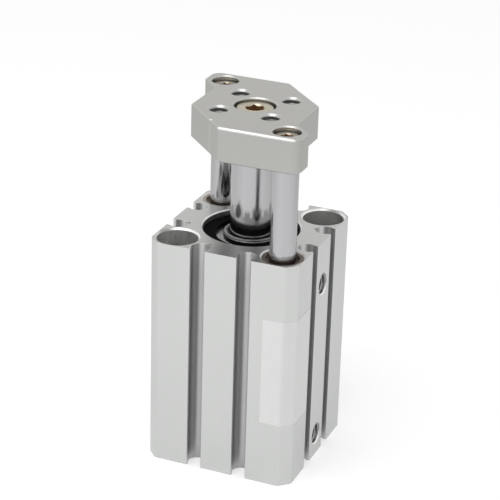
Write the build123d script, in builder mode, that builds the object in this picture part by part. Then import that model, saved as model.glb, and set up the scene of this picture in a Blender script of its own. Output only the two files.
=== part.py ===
from build123d import *
import math
import os

# Guided compact pneumatic cylinder, 20 mm bore by 25 mm stroke, in millimetres.
# The body stands on its head end with its axis on Z, and the rods leave it at the top.
# Two guide rods and two mounting holes share the four corners of the square body.
# The rods, piston and end plate are shown part way through their stroke.

# Stroke
stroke = 25.0
shown_extension = 17.0
stop_gap = 0.1
plate_gap_retracted = 4.5

# Fits
running_clearance = 0.03
guide_clearance = 0.02
seat_clearance = 0.01
groove_clearance = 0.02

# Square body, whose hole pitch is rounded up to the next half millimetre
guide_web = 1.4
pitch_step = 0.5
corner_wall = 0.5
corner_chamfer = 2.5
corner_blend = 1.2

# Central bore, its cover seat and its mouth
bore_radius = 10.0
seat_step = 1.25
ring_groove_step = 0.55
ring_groove_width = 1.1
mouth_depth = 1.5
mouth_chamfer = 0.25

# Switch grooves, two along each face
groove_web = 0.2
groove_mouth_width = 3.4
groove_pocket_radius = 2.2
groove_pocket_depth = 2.1
groove_lip_round = 0.25

# Mounting holes, counterbored from both ends
mounting_radius = 2.75
counterbore_radius = 4.75
counterbore_depth = 7.0
counterbore_chamfer = 0.4

# Guide bores and their sintered bushings
guide_rod_radius = 3.0
bushing_wall = 1.68
bushing_length = 11.0
bushing_spacing = 4.0
bushing_recess = 0.3
bushing_mouth_relief = 0.95
bushing_mouth_depth = 1.4
guide_bore_relief = 0.5
guide_bore_chamfer = 0.3
guide_rod_floor_gap = 1.0
guide_rod_chamfer = 0.5
guide_thread_spare = 0.5

# Air ports on the +X face, M5 threads at their nominal radius
port_radius = 2.5
port_thread_depth = 5.5
port_passage_radius = 1.5
port_chamfer = 0.3
head_port_above_stop = 2.3
rod_port_below_seat = 1.7

# Small set marks on the rod-side end face
set_mark_radius = 0.35
set_mark_depth = 0.35
set_mark_inset = 4.4
set_mark_offset = 4.3
set_mark_port_side_offset = 5.4

# Head plate, pressed into the bottom of the bore
head_plate_recess = 0.4
head_plate_thickness = 2.8
head_plate_chamfer = 0.3
head_plate_dimple_radius = 6.0
head_plate_dimple_depth = 0.5

# Piston, from its head-side end to its rod-side end
piston_clearance = 0.08
relief_step = 0.92
relief_length = 2.6
piston_land = 0.9
seal_groove_width = 2.3
seal_groove_depth = 2.52
magnet_groove_width = 2.6
magnet_groove_depth = 2.32
wear_groove_width = 2.3
wear_groove_depth = 1.22
magnet_recess = 0.32
seal_lip_height = 0.5
wear_ring_slit = 0.8
bumper_thickness = 1.8
bumper_proud = 0.6
rod_bumper_rim = 1.92
head_bumper_rim = 1.4

# Piston rod
rod_radius = 5.0
rod_spigot_radius = 3.5
rivet_overhang = 0.8
rivet_thickness = 1.0
rod_thread_spare = 2.4
rod_chamfer = 0.5

# Rod cover, held by the retaining ring
cover_spigot_gap = 1.4
cover_spigot_length = 3.0
cover_flange_length = 6.4
cover_neck_wall = 1.1
cover_neck_height = 1.75
cover_neck_chamfer = 0.35
cover_throat_gap = 0.4
cover_throat_chamfer = 0.15
cover_edge_chamfer = 0.3
rod_seal_width = 2.4
rod_seal_height = 2.8
rod_seal_lid = 1.0
rod_seal_lip_width = 0.3
rod_seal_lip_below_neck = 0.5
gasket_cord_radius = 0.7
gasket_below_flange_top = 2.8

# Retaining ring, an internal spring ring with two plier lugs
ring_thickness = 1.0
ring_groove_play = 0.1
ring_width = 3.0
ring_offset = 0.5
ring_opening = 5.0
ring_lug_radius = 2.2
ring_lug_hole_radius = 0.85
ring_lug_clearance = 0.6
ring_opening_angle = 65.0

# End plate
plate_thickness = 8.0
plate_rim = 4.65
wing_overhang = 0.25
shelf_overhang = 0.6
driver_clearance = 0.05
block_wall = 0.05
shelf_width = 0.66
block_chamfer = 3.3
block_corner_radius = 2.5
wing_corner_radius = 1.0
shelf_corner_radius = 0.35
plate_edge_round = 0.45
plate_corner_round = 0.6
plate_thread_radius = 2.0
plate_thread_web = 2.0
plate_thread_angle = 45.0
plate_hole_chamfer = 0.3
plate_thread_chamfer = 0.5
guide_seat_depth = 0.8

# Centre screw M5 and guide rod screws M3, hexagon socket heads
centre_head_radius = 4.25
centre_head_height = 5.0
centre_shank_radius = 2.5
centre_shank_length = 12.0
centre_socket_width = 4.0
centre_socket_depth = 2.5
centre_head_sunk = 0.6
guide_head_radius = 2.75
guide_head_height = 3.0
guide_shank_radius = 1.5
guide_shank_length = 9.0
guide_socket_width = 2.5
guide_socket_depth = 1.4
guide_head_sunk = 1.0
centre_head_clearance = 0.5
guide_head_clearance = 0.4
shank_clearance = 0.2
screw_edge = 0.4

# Places worked out from the sizes above, first across the body
seat_radius = bore_radius + seat_step
ring_groove_radius = seat_radius + ring_groove_step
bushing_radius = guide_rod_radius + guide_clearance + bushing_wall
guide_bore_radius = bushing_radius + seat_clearance
guide_bore_distance = ring_groove_radius + guide_web + guide_bore_radius
hole_pitch = pitch_step * math.ceil(math.sqrt(2) * guide_bore_distance / pitch_step)
hole_offset = hole_pitch / 2
corner_hole_radius = max(counterbore_radius, guide_bore_radius)
body_half = hole_offset + corner_hole_radius + corner_wall
body_width = 2 * body_half
groove_offset = hole_offset - corner_hole_radius - groove_web - groove_pocket_radius
mounting_points = [(-hole_offset, -hole_offset), (hole_offset, hole_offset)]
guide_points = {
    "front": (hole_offset, -hole_offset),
    "rear": (-hole_offset, hole_offset),
}

# Places along the axis, from the head end upwards
piston_length = relief_length + seal_groove_width + magnet_groove_width + wear_groove_width + 4 * piston_land
head_stop_z = head_plate_recess + head_plate_thickness
head_port_z = head_stop_z + head_port_above_stop
cover_end_z = head_stop_z + piston_length + 2 * bumper_proud + stroke + 2 * stop_gap
cover_seat_z = cover_end_z + cover_spigot_length
cover_face_z = cover_seat_z + cover_flange_length
body_height = cover_face_z + ring_groove_width + mouth_depth
rod_port_z = cover_seat_z - rod_port_below_seat
bushing_top_z = body_height - bushing_recess
guide_shoulder_z = bushing_top_z - 2 * bushing_length - bushing_spacing
plate_bottom_z = body_height + plate_gap_retracted + shown_extension
plate_top_z = plate_bottom_z + plate_thickness
piston_z = head_stop_z + stop_gap + bumper_proud + shown_extension
piston_top_z = piston_z + piston_length

os.makedirs("parts", exist_ok=True)


def rims(part, radius):
    """All circular edges of one radius on a part."""
    circles = part.edges().filter_by(GeomType.CIRCLE)
    return circles.filter_by(lambda rim: math.isclose(rim.radius, radius, abs_tol=1e-4))


# Extruded aluminium body with all its bores
with BuildPart() as cylinder_tube:
    with BuildSketch() as body_section:
        Rectangle(body_width, body_width)
        chamfer(body_section.vertices(), corner_chamfer)
        fillet(body_section.vertices(), corner_blend)
        with PolarLocations(body_half, 4):
            with Locations((0, -groove_offset), (0, groove_offset)):
                Rectangle(2 * groove_pocket_depth, groove_mouth_width, mode=Mode.SUBTRACT)
            with Locations((-groove_pocket_depth, -groove_offset), (-groove_pocket_depth, groove_offset)):
                Circle(groove_pocket_radius, mode=Mode.SUBTRACT)
        groove_reach = groove_offset + groove_mouth_width
        lips = body_section.vertices().filter_by(
            lambda corner: max(abs(corner.X), abs(corner.Y)) > body_half - groove_lip_round
            and min(abs(corner.X), abs(corner.Y)) < groove_reach
        )
        fillet(lips, groove_lip_round)
    extrude(amount=body_height)

    # Stepped central bore, with the seat of the rod cover and the groove of its ring
    with BuildSketch(Plane.XZ):
        with BuildLine():
            Polyline(
                (0, 0),
                (seat_radius, 0),
                (seat_radius, head_stop_z),
                (bore_radius, head_stop_z),
                (bore_radius, cover_seat_z),
                (seat_radius, cover_seat_z),
                (seat_radius, cover_face_z),
                (ring_groove_radius, cover_face_z),
                (ring_groove_radius, cover_face_z + ring_groove_width),
                (seat_radius, cover_face_z + ring_groove_width),
                (seat_radius, body_height - mouth_chamfer),
                (seat_radius + mouth_chamfer, body_height),
                (0, body_height),
                close=True,
            )
        make_face()
    revolve(axis=Axis.Z, mode=Mode.SUBTRACT)

    # Mounting holes
    with BuildSketch():
        with Locations(*mounting_points):
            Circle(mounting_radius)
    extrude(amount=body_height, mode=Mode.SUBTRACT)
    with BuildSketch(Plane.XY, Plane.XY.offset(body_height - counterbore_depth)):
        with Locations(*mounting_points):
            Circle(counterbore_radius)
    extrude(amount=counterbore_depth, mode=Mode.SUBTRACT)
    counterbore_rims = rims(cylinder_tube, counterbore_radius)
    chamfer(counterbore_rims.group_by(Axis.Z)[0] + counterbore_rims.group_by(Axis.Z)[-1], counterbore_chamfer)

    # Guide bores, open at both ends and stepped where the lower bushing stops
    with Locations(*[(x, y, body_height) for x, y in guide_points.values()]):
        CounterBoreHole(
            radius=guide_rod_radius + guide_bore_relief,
            counter_bore_radius=guide_bore_radius,
            counter_bore_depth=body_height - guide_shoulder_z,
            depth=body_height,
        )
    chamfer(rims(cylinder_tube, guide_bore_radius).group_by(Axis.Z)[-1], guide_bore_chamfer)

    # Ports, tapped from the face and drilled on into the bore
    port_planes = [Plane(origin=(body_half, 0, z), z_dir=(1, 0, 0)) for z in (head_port_z, rod_port_z)]
    with Locations(*port_planes):
        CounterBoreHole(
            radius=port_passage_radius,
            counter_bore_radius=port_radius,
            counter_bore_depth=port_thread_depth,
            depth=body_half - bore_radius + port_passage_radius,
        )
    chamfer(rims(cylinder_tube, port_radius).group_by(Axis.X)[-1], port_chamfer)

    # Set marks beside three of the grooves
    mark_line = body_half - set_mark_inset
    with Locations(
        (-mark_line, -set_mark_offset, body_height),
        (-set_mark_offset, -mark_line, body_height),
        (mark_line, set_mark_port_side_offset, body_height),
    ):
        Hole(radius=set_mark_radius, depth=set_mark_depth)
cylinder_tube.part.label = "cylinder_tube"
export_step(cylinder_tube.part, "parts/cylinder_tube.step")

# Head plate, a turned disc pressed against the shoulder of the bore
with BuildPart() as head_plate:
    with BuildSketch(Plane.XY.offset(head_plate_recess)):
        Circle(seat_radius - seat_clearance)
    extrude(amount=head_plate_thickness)
    chamfer(head_plate.edges().group_by(Axis.Z)[0], head_plate_chamfer)
    with BuildSketch(Plane.XY.offset(head_plate_recess)):
        Circle(head_plate_dimple_radius)
    extrude(amount=head_plate_dimple_depth, mode=Mode.SUBTRACT)
head_plate.part.label = "head_plate"
export_step(head_plate.part, "parts/head_plate.step")

# Rod cover: spigot, flange with the gasket groove, and the neck round the rod
seal_groove_top_z = cover_face_z - rod_seal_lid
seal_groove_bottom_z = seal_groove_top_z - rod_seal_height
cover_radius = seat_radius - seat_clearance
cover_spigot_radius = bore_radius - cover_spigot_gap
cover_bore_radius = rod_radius + running_clearance
cover_throat_radius = rod_radius + cover_throat_gap
cover_neck_radius = cover_throat_radius + cover_neck_wall
rod_seal_radius = rod_radius + rod_seal_width
neck_top_z = cover_face_z + cover_neck_height
gasket_z = cover_face_z - gasket_below_flange_top
gasket_radius = seat_radius - groove_clearance - gasket_cord_radius
gasket_groove_floor = gasket_radius - gasket_cord_radius - groove_clearance
gasket_groove_half = gasket_cord_radius + groove_clearance
with BuildPart() as rod_cover:
    with BuildSketch(Plane.XZ):
        with BuildLine():
            Polyline(
                (cover_bore_radius, cover_end_z),
                (cover_spigot_radius - cover_edge_chamfer, cover_end_z),
                (cover_spigot_radius, cover_end_z + cover_edge_chamfer),
                (cover_spigot_radius, cover_seat_z),
                (cover_radius, cover_seat_z),
                (cover_radius, gasket_z - gasket_groove_half),
                (gasket_groove_floor, gasket_z - gasket_groove_half),
                (gasket_groove_floor, gasket_z + gasket_groove_half),
                (cover_radius, gasket_z + gasket_groove_half),
                (cover_radius, cover_face_z - cover_edge_chamfer),
                (cover_radius - cover_edge_chamfer, cover_face_z),
                (cover_neck_radius, cover_face_z),
                (cover_neck_radius, neck_top_z - cover_neck_chamfer),
                (cover_neck_radius - cover_neck_chamfer, neck_top_z),
                (cover_throat_radius + cover_throat_chamfer, neck_top_z),
                (cover_throat_radius, neck_top_z - cover_throat_chamfer),
                (cover_throat_radius, seal_groove_top_z),
                (rod_seal_radius, seal_groove_top_z),
                (rod_seal_radius, seal_groove_bottom_z),
                (cover_bore_radius, seal_groove_bottom_z),
                close=True,
            )
        make_face()
    revolve(axis=Axis.Z)
rod_cover.part.label = "rod_cover"
export_step(rod_cover.part, "parts/rod_cover.step")

# Rubber ring that seals the rod cover in its seat
with BuildPart() as rod_cover_gasket:
    with BuildSketch(Plane.XZ):
        with Locations((gasket_radius, gasket_z)):
            Circle(gasket_cord_radius)
    revolve(axis=Axis.Z)
rod_cover_gasket.part.label = "rod_cover_gasket"
export_step(rod_cover_gasket.part, "parts/rod_cover_gasket.step")

# Rod seal: a cup in the cover's groove with a wiper lip that reaches up the throat
seal_inner = rod_radius + running_clearance
seal_outer = rod_seal_radius - groove_clearance
seal_base_z = seal_groove_bottom_z + groove_clearance
seal_crown_z = seal_groove_top_z - groove_clearance
seal_cup_depth = rod_seal_height / 2
seal_cup_middle = (seal_inner + seal_outer) / 2
seal_cup_half = (seal_outer - seal_inner) / 4
wiper_top_z = neck_top_z - rod_seal_lip_below_neck
with BuildPart() as rod_seal:
    with BuildSketch(Plane.XZ):
        with BuildLine():
            Polyline(
                (seal_inner, seal_base_z),
                (seal_cup_middle - seal_cup_half, seal_base_z),
                (seal_cup_middle, seal_base_z + seal_cup_depth),
                (seal_cup_middle + seal_cup_half, seal_base_z),
                (seal_outer, seal_base_z),
                (seal_outer, seal_crown_z),
                (seal_inner + rod_seal_lip_width, seal_crown_z),
                (seal_inner + rod_seal_lip_width / 2, wiper_top_z),
                (seal_inner, wiper_top_z),
                close=True,
            )
        make_face()
    revolve(axis=Axis.Z)
rod_seal.part.label = "rod_seal"
export_step(rod_seal.part, "parts/rod_seal.step")

# Retaining ring, drawn with its opening along local X and then turned
ring_radius = ring_groove_radius - ring_groove_play
opening_turn = math.radians(ring_opening_angle)
ring_plane = Plane(
    origin=(0, 0, cover_face_z),
    x_dir=(math.cos(opening_turn), math.sin(opening_turn), 0),
    z_dir=(0, 0, 1),
)
ring_inner_radius = ring_radius - ring_width
lug_circle = max(ring_inner_radius, cover_neck_radius + ring_lug_clearance + ring_lug_radius)
lug_y = ring_opening / 2 + ring_lug_radius
lug_x = math.sqrt(lug_circle**2 - lug_y**2)
with BuildPart() as retaining_ring:
    with BuildSketch(ring_plane):
        Circle(ring_radius)
        with Locations((ring_offset, 0)):
            Circle(ring_inner_radius, mode=Mode.SUBTRACT)
        Rectangle(ring_radius, ring_opening, align=(Align.MIN, Align.CENTER), mode=Mode.SUBTRACT)
        with Locations((lug_x, lug_y), (lug_x, -lug_y)):
            Circle(ring_lug_radius)
            Circle(ring_lug_hole_radius, mode=Mode.SUBTRACT)
        Circle(ring_radius, mode=Mode.INTERSECT)
    extrude(amount=ring_thickness)
retaining_ring.part.label = "retaining_ring"
export_step(retaining_ring.part, "parts/retaining_ring.step")

# Sintered bushings, two pressed one above the other in each guide bore
bushing_levels = {
    "lower": guide_shoulder_z,
    "upper": guide_shoulder_z + bushing_length + bushing_spacing,
}
for side, (x, y) in guide_points.items():
    for level, bottom_z in bushing_levels.items():
        with BuildPart() as guide_bushing:
            with BuildSketch(Plane(origin=(x, y, bottom_z))):
                Circle(bushing_radius)
                Circle(guide_rod_radius + guide_clearance, mode=Mode.SUBTRACT)
            extrude(amount=bushing_length)
            if level == "upper":
                with BuildSketch(Plane(origin=(x, y, bottom_z + bushing_length))):
                    Circle(guide_rod_radius + bushing_mouth_relief)
                extrude(amount=-bushing_mouth_depth, mode=Mode.SUBTRACT)
        guide_bushing.part.label = f"{side}_guide_bushing_{level}"
        export_step(guide_bushing.part, f"parts/{guide_bushing.part.label}.step")

# Piston: grooves for the seal, the magnet and the wear ring, and a seat for each bumper
piston_radius = bore_radius - piston_clearance
relief_radius = piston_radius - relief_step
seal_groove_radius = piston_radius - seal_groove_depth
magnet_groove_radius = piston_radius - magnet_groove_depth
wear_groove_radius = piston_radius - wear_groove_depth
rod_bumper_radius = piston_radius - rod_bumper_rim
head_bumper_radius = relief_radius - head_bumper_rim
bumper_seat = bumper_thickness - bumper_proud
seal_z = piston_z + relief_length + piston_land
magnet_z = seal_z + seal_groove_width + piston_land
wear_z = magnet_z + magnet_groove_width + piston_land
spigot_bore = rod_spigot_radius + seat_clearance
with BuildPart() as piston:
    with BuildSketch(Plane.XZ):
        with BuildLine():
            Polyline(
                (spigot_bore, piston_z + bumper_seat),
                (head_bumper_radius + groove_clearance, piston_z + bumper_seat),
                (head_bumper_radius + groove_clearance, piston_z),
                (relief_radius, piston_z),
                (relief_radius, piston_z + relief_length),
                (piston_radius, piston_z + relief_length),
                (piston_radius, seal_z),
                (seal_groove_radius, seal_z),
                (seal_groove_radius, seal_z + seal_groove_width),
                (piston_radius, seal_z + seal_groove_width),
                (piston_radius, magnet_z),
                (magnet_groove_radius, magnet_z),
                (magnet_groove_radius, magnet_z + magnet_groove_width),
                (piston_radius, magnet_z + magnet_groove_width),
                (piston_radius, wear_z),
                (wear_groove_radius, wear_z),
                (wear_groove_radius, wear_z + wear_groove_width),
                (piston_radius, wear_z + wear_groove_width),
                (piston_radius, piston_top_z),
                (rod_bumper_radius + groove_clearance, piston_top_z),
                (rod_bumper_radius + groove_clearance, piston_top_z - bumper_seat),
                (spigot_bore, piston_top_z - bumper_seat),
                close=True,
            )
        make_face()
    revolve(axis=Axis.Z)
piston.part.label = "piston"
export_step(piston.part, "parts/piston.step")

# Piston seal with a lip on each side of a waist
seal_reach = bore_radius - running_clearance
seal_low_z = seal_z + groove_clearance
seal_high_z = seal_z + seal_groove_width - groove_clearance
with BuildPart() as piston_seal:
    with BuildSketch(Plane.XZ):
        with BuildLine():
            Polyline(
                (seal_groove_radius + groove_clearance, seal_low_z),
                (seal_reach - seal_lip_height, seal_low_z),
                (seal_reach, seal_low_z + seal_lip_height),
                (seal_reach - seal_lip_height, (seal_low_z + seal_high_z) / 2),
                (seal_reach, seal_high_z - seal_lip_height),
                (seal_reach - seal_lip_height, seal_high_z),
                (seal_groove_radius + groove_clearance, seal_high_z),
                close=True,
            )
        make_face()
    revolve(axis=Axis.Z)
piston_seal.part.label = "piston_seal"
export_step(piston_seal.part, "parts/piston_seal.step")

# Magnet ring that the switches in the body's grooves sense
with BuildPart() as magnet:
    with BuildSketch(Plane.XY.offset(magnet_z + groove_clearance)):
        Circle(piston_radius - magnet_recess)
        Circle(magnet_groove_radius + groove_clearance, mode=Mode.SUBTRACT)
    extrude(amount=magnet_groove_width - 2 * groove_clearance)
magnet.part.label = "magnet"
export_step(magnet.part, "parts/magnet.step")

# Wear ring, slit once so that it can be sprung into its groove
with BuildPart() as wear_ring:
    with BuildSketch(Plane.XY.offset(wear_z + groove_clearance)):
        Circle(bore_radius - running_clearance)
        Circle(wear_groove_radius + groove_clearance, mode=Mode.SUBTRACT)
        Rectangle(bore_radius, wear_ring_slit, align=(Align.MIN, Align.CENTER), mode=Mode.SUBTRACT)
    extrude(amount=wear_groove_width - 2 * groove_clearance)
wear_ring.part.label = "wear_ring"
export_step(wear_ring.part, "parts/wear_ring.step")

# Bumpers, one let into each face of the piston
rivet_radius = rod_spigot_radius + rivet_overhang
with BuildPart() as rod_side_bumper:
    with BuildSketch(Plane.XY.offset(piston_top_z - bumper_seat)):
        Circle(rod_bumper_radius)
        Circle(rod_radius + groove_clearance, mode=Mode.SUBTRACT)
    extrude(amount=bumper_thickness)
    chamfer(rims(rod_side_bumper, rod_bumper_radius).group_by(Axis.Z)[-1], bumper_proud / 2)
rod_side_bumper.part.label = "rod_side_bumper"
export_step(rod_side_bumper.part, "parts/rod_side_bumper.step")

with BuildPart() as head_side_bumper:
    with BuildSketch(Plane.XY.offset(piston_z - bumper_proud)):
        Circle(head_bumper_radius)
        Circle(rivet_radius + groove_clearance, mode=Mode.SUBTRACT)
    extrude(amount=bumper_thickness)
    chamfer(rims(head_side_bumper, head_bumper_radius).group_by(Axis.Z)[0], bumper_proud / 2)
head_side_bumper.part.label = "head_side_bumper"
export_step(head_side_bumper.part, "parts/head_side_bumper.step")

# Piston rod, riveted over below the piston and tapped at its plate end
rod_shoulder_z = piston_top_z - bumper_seat
rivet_top_z = piston_z + bumper_seat
centre_floor_z = plate_top_z - centre_head_sunk - centre_head_height
centre_thread_radius = centre_shank_radius + groove_clearance
centre_thread_floor_z = centre_floor_z - centre_shank_length - rod_thread_spare
with BuildPart() as piston_rod:
    with BuildSketch(Plane.XZ):
        with BuildLine():
            Polyline(
                (0, rivet_top_z - rivet_thickness),
                (rivet_radius, rivet_top_z - rivet_thickness),
                (rivet_radius, rivet_top_z),
                (rod_spigot_radius, rivet_top_z),
                (rod_spigot_radius, rod_shoulder_z),
                (rod_radius, rod_shoulder_z),
                (rod_radius, plate_bottom_z - rod_chamfer),
                (rod_radius - rod_chamfer, plate_bottom_z),
                (centre_thread_radius, plate_bottom_z),
                (centre_thread_radius, centre_thread_floor_z),
                (0, centre_thread_floor_z),
                close=True,
            )
        make_face()
    revolve(axis=Axis.Z)
piston_rod.part.label = "piston_rod"
export_step(piston_rod.part, "parts/piston_rod.step")

# Guide rods, each tapped at its upper end for a plate screw
guide_rod_bottom_z = guide_rod_floor_gap + shown_extension
guide_rod_top_z = plate_bottom_z + guide_seat_depth
guide_floor_z = plate_top_z - guide_head_sunk - guide_head_height
guide_screw_end_z = guide_floor_z - guide_shank_length
guide_thread_radius = guide_shank_radius + groove_clearance
for side, (x, y) in guide_points.items():
    with BuildPart() as guide_rod:
        with BuildSketch(Plane(origin=(x, y, guide_rod_bottom_z))):
            Circle(guide_rod_radius)
        extrude(amount=guide_rod_top_z - guide_rod_bottom_z)
        chamfer(guide_rod.edges().group_by(Axis.Z)[0], guide_rod_chamfer)
        with Locations((x, y, guide_rod_top_z)):
            Hole(radius=guide_thread_radius, depth=guide_rod_top_z - guide_screw_end_z + guide_thread_spare)
    guide_rod.part.label = f"{side}_guide_rod"
    export_step(guide_rod.part, f"parts/{side}_guide_rod.step")

# End plate: a block over each guide rod, joined by wings that are cut back at 45 degrees
# so that a driver can reach the two mounting holes. The plate repeats when turned half way.
plate_half = hole_offset + plate_rim
wing_half = hole_offset + wing_overhang
shelf_y = hole_offset + shelf_overhang
centre_hole_radius = centre_head_radius + centre_head_clearance
guide_hole_radius = guide_head_radius + guide_head_clearance
plate_thread_reach = centre_hole_radius + plate_thread_web + plate_thread_radius
cut_sum = hole_pitch - math.sqrt(2) * (counterbore_radius + driver_clearance)
notch_x = cut_sum - shelf_y - shelf_width
wall_sum = math.sqrt(2) * (guide_hole_radius + plate_hole_chamfer + plate_edge_round + block_wall)
front_outline = [
    (-wing_half, wing_half - cut_sum),
    (shelf_y - cut_sum, -shelf_y),
    (-notch_x, -shelf_y),
    (-notch_x, -plate_half + block_chamfer),
    (-notch_x + block_chamfer, -plate_half),
    (plate_half, -plate_half),
    (plate_half, wall_sum - plate_half),
    (wing_half, wall_sum - wing_half),
]
rear_outline = [(-x, -y) for x, y in front_outline]
with BuildPart() as end_plate:
    with BuildSketch(Plane.XY.offset(plate_bottom_z)) as plate_outline:
        with BuildLine():
            Polyline(*front_outline, *rear_outline, close=True)
        make_face()
        corners = plate_outline.vertices()
        block_corners = corners.filter_by(
            lambda corner: abs(corner.X) > plate_half - block_chamfer / 2
            and abs(corner.Y) > plate_half - block_chamfer / 2
        )
        shelf_corners = corners.filter_by(
            lambda corner: math.isclose(abs(corner.X), notch_x) and math.isclose(abs(corner.Y), shelf_y)
        )
        wing_corners = corners.filter_by(
            lambda corner: math.isclose(abs(corner.X), wing_half) and corner.X * corner.Y < 0
        )
        named_corners = block_corners + shelf_corners + wing_corners
        other_corners = [corner for corner in corners if corner not in named_corners]
        fillet(block_corners, block_corner_radius)
        fillet(shelf_corners, shelf_corner_radius)
        fillet(wing_corners, wing_corner_radius)
        fillet(other_corners, plate_corner_round)
    extrude(amount=plate_thickness)
    fillet(end_plate.edges().group_by(Axis.Z)[-1] + end_plate.edges().group_by(Axis.Z)[0], plate_edge_round)
    with Locations((0, 0, plate_top_z)):
        CounterBoreHole(
            radius=centre_shank_radius + shank_clearance,
            counter_bore_radius=centre_hole_radius,
            counter_bore_depth=plate_top_z - centre_floor_z,
            depth=plate_thickness,
        )
    with Locations(*[(x, y, plate_top_z) for x, y in guide_points.values()]):
        CounterBoreHole(
            radius=guide_shank_radius + shank_clearance,
            counter_bore_radius=guide_hole_radius,
            counter_bore_depth=plate_top_z - guide_floor_z,
            depth=plate_thickness,
        )
    with BuildSketch(Plane.XY.offset(plate_bottom_z)):
        with Locations(*guide_points.values()):
            Circle(guide_rod_radius + groove_clearance)
    extrude(amount=guide_seat_depth, mode=Mode.SUBTRACT)
    with BuildSketch(Plane.XY.offset(plate_bottom_z)):
        with PolarLocations(plate_thread_reach, 4, start_angle=plate_thread_angle):
            Circle(plate_thread_radius)
    extrude(amount=plate_thickness, mode=Mode.SUBTRACT)
    chamfer(rims(end_plate, plate_thread_radius), plate_thread_chamfer)
    chamfer(rims(end_plate, centre_hole_radius).group_by(Axis.Z)[-1], plate_hole_chamfer)
    chamfer(rims(end_plate, guide_hole_radius).group_by(Axis.Z)[-1], plate_hole_chamfer)
end_plate.part.label = "end_plate"
export_step(end_plate.part, "parts/end_plate.step")

# Centre screw through the plate into the piston rod
with BuildPart() as centre_screw:
    with BuildSketch(Plane.XY.offset(centre_floor_z)):
        Circle(centre_head_radius)
    extrude(amount=centre_head_height)
    chamfer(centre_screw.edges().group_by(Axis.Z)[-1], screw_edge)
    with BuildSketch(Plane.XY.offset(centre_floor_z)):
        Circle(centre_shank_radius)
    extrude(amount=-centre_shank_length)
    chamfer(centre_screw.edges().group_by(Axis.Z)[0], screw_edge)
    with BuildSketch(Plane.XY.offset(centre_floor_z + centre_head_height)):
        RegularPolygon(centre_socket_width / 2, 6, major_radius=False)
    extrude(amount=-centre_socket_depth, mode=Mode.SUBTRACT)
centre_screw.part.label = "centre_screw"
export_step(centre_screw.part, "parts/centre_screw.step")

# Two screws that hold the plate on the guide rods
with BuildPart() as guide_rod_screws:
    with BuildSketch(Plane.XY.offset(guide_floor_z)):
        with Locations(*guide_points.values()):
            Circle(guide_head_radius)
    extrude(amount=guide_head_height)
    chamfer(guide_rod_screws.edges().group_by(Axis.Z)[-1], screw_edge)
    with BuildSketch(Plane.XY.offset(guide_floor_z)):
        with Locations(*guide_points.values()):
            Circle(guide_shank_radius)
    extrude(amount=-guide_shank_length)
    with BuildSketch(Plane.XY.offset(guide_floor_z + guide_head_height)):
        with Locations(*guide_points.values()):
            RegularPolygon(guide_socket_width / 2, 6, major_radius=False)
    extrude(amount=-guide_socket_depth, mode=Mode.SUBTRACT)
guide_rod_screws.part.label = "guide_rod_screws"
export_step(guide_rod_screws.part, "parts/guide_rod_screws.step")
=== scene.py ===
import bmesh
import bpy
import math
from mathutils import Matrix, Vector


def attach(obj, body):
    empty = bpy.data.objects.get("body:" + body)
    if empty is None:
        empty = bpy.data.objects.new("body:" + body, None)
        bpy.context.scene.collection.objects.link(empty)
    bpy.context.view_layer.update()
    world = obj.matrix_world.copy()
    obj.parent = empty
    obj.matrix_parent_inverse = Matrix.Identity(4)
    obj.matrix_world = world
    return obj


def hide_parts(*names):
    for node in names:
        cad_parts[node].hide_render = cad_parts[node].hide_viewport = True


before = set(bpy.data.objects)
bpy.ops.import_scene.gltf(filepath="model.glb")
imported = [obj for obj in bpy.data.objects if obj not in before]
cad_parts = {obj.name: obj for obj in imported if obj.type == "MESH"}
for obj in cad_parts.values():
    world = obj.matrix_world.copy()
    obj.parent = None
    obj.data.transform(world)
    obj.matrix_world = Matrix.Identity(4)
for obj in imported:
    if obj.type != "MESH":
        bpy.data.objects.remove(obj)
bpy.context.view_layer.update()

# The camera looks down on the cylinder from its front right, slightly tilted, through a
# long lens. Its place was fitted to points of the photograph at the object's real size.
mm = 0.001
view_azimuth = math.radians(22.07)
view_elevation = math.radians(23.68)
view_roll = math.radians(1.73)
view_target = Vector((-1.14, 2.27, 48.02)) * mm
view_distance = 434.8 * mm
view_lens = 135.2
nearest_seen = 10 * mm
look = Vector((
    -math.sin(view_azimuth) * math.cos(view_elevation),
    math.cos(view_azimuth) * math.cos(view_elevation),
    -math.sin(view_elevation),
))
camera = bpy.data.objects.new("camera", bpy.data.cameras.new("camera"))
bpy.context.scene.collection.objects.link(camera)
camera.data.lens = view_lens
camera.data.clip_start = nearest_seen
camera.location = view_target - look * view_distance
camera.rotation_mode = "QUATERNION"
upright = (-look).to_track_quat("Z", "Y")
camera.rotation_quaternion = upright @ Matrix.Rotation(view_roll, 3, "Z").to_quaternion()
bpy.context.scene.camera = camera

# The studio: a white floor, an even white surround and two large soft boxes, one high
# over the front of the cylinder and one lower at its left. The floor keeps the shadow.
# Polished metal sees it a little darker far behind, at the left and close to the foot.
bpy.context.scene.view_settings.view_transform = "Standard"
white = (1, 1, 1, 1)
surround_fill = 0.66
floor_half = 2500 * mm
floor_color = (0.62, 0.62, 0.62, 1)
floor_roughness = 0.9
floor_lift = 0.52
bright_spot = (60, -140)
bright_spot_reach = 120
darkest_reach = 320
mirrored_fall = 0.22
foot_reach = 25
foot_end = 130
mirrored_foot = 0.10
soft_boxes = {
    "overhead_box": {"place": (-45, -180, 405), "size": 300, "power": 0.55},
    "left_box": {"place": (-420, -330, 260), "size": 300, "power": 0.15},
}
lit_point = Vector((0, 0, 50)) * mm


def node(tree, kind, inputs=None, **settings):
    """A shader or geometry node with its settings; an input is a value or a linked socket."""
    made = tree.nodes.new(kind)
    for name, value in settings.items():
        setattr(made, name, value)
    for name, value in (inputs or {}).items():
        if isinstance(value, bpy.types.NodeSocket):
            tree.links.new(value, made.inputs[name])
        else:
            made.inputs[name].default_value = value
    return made


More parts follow.
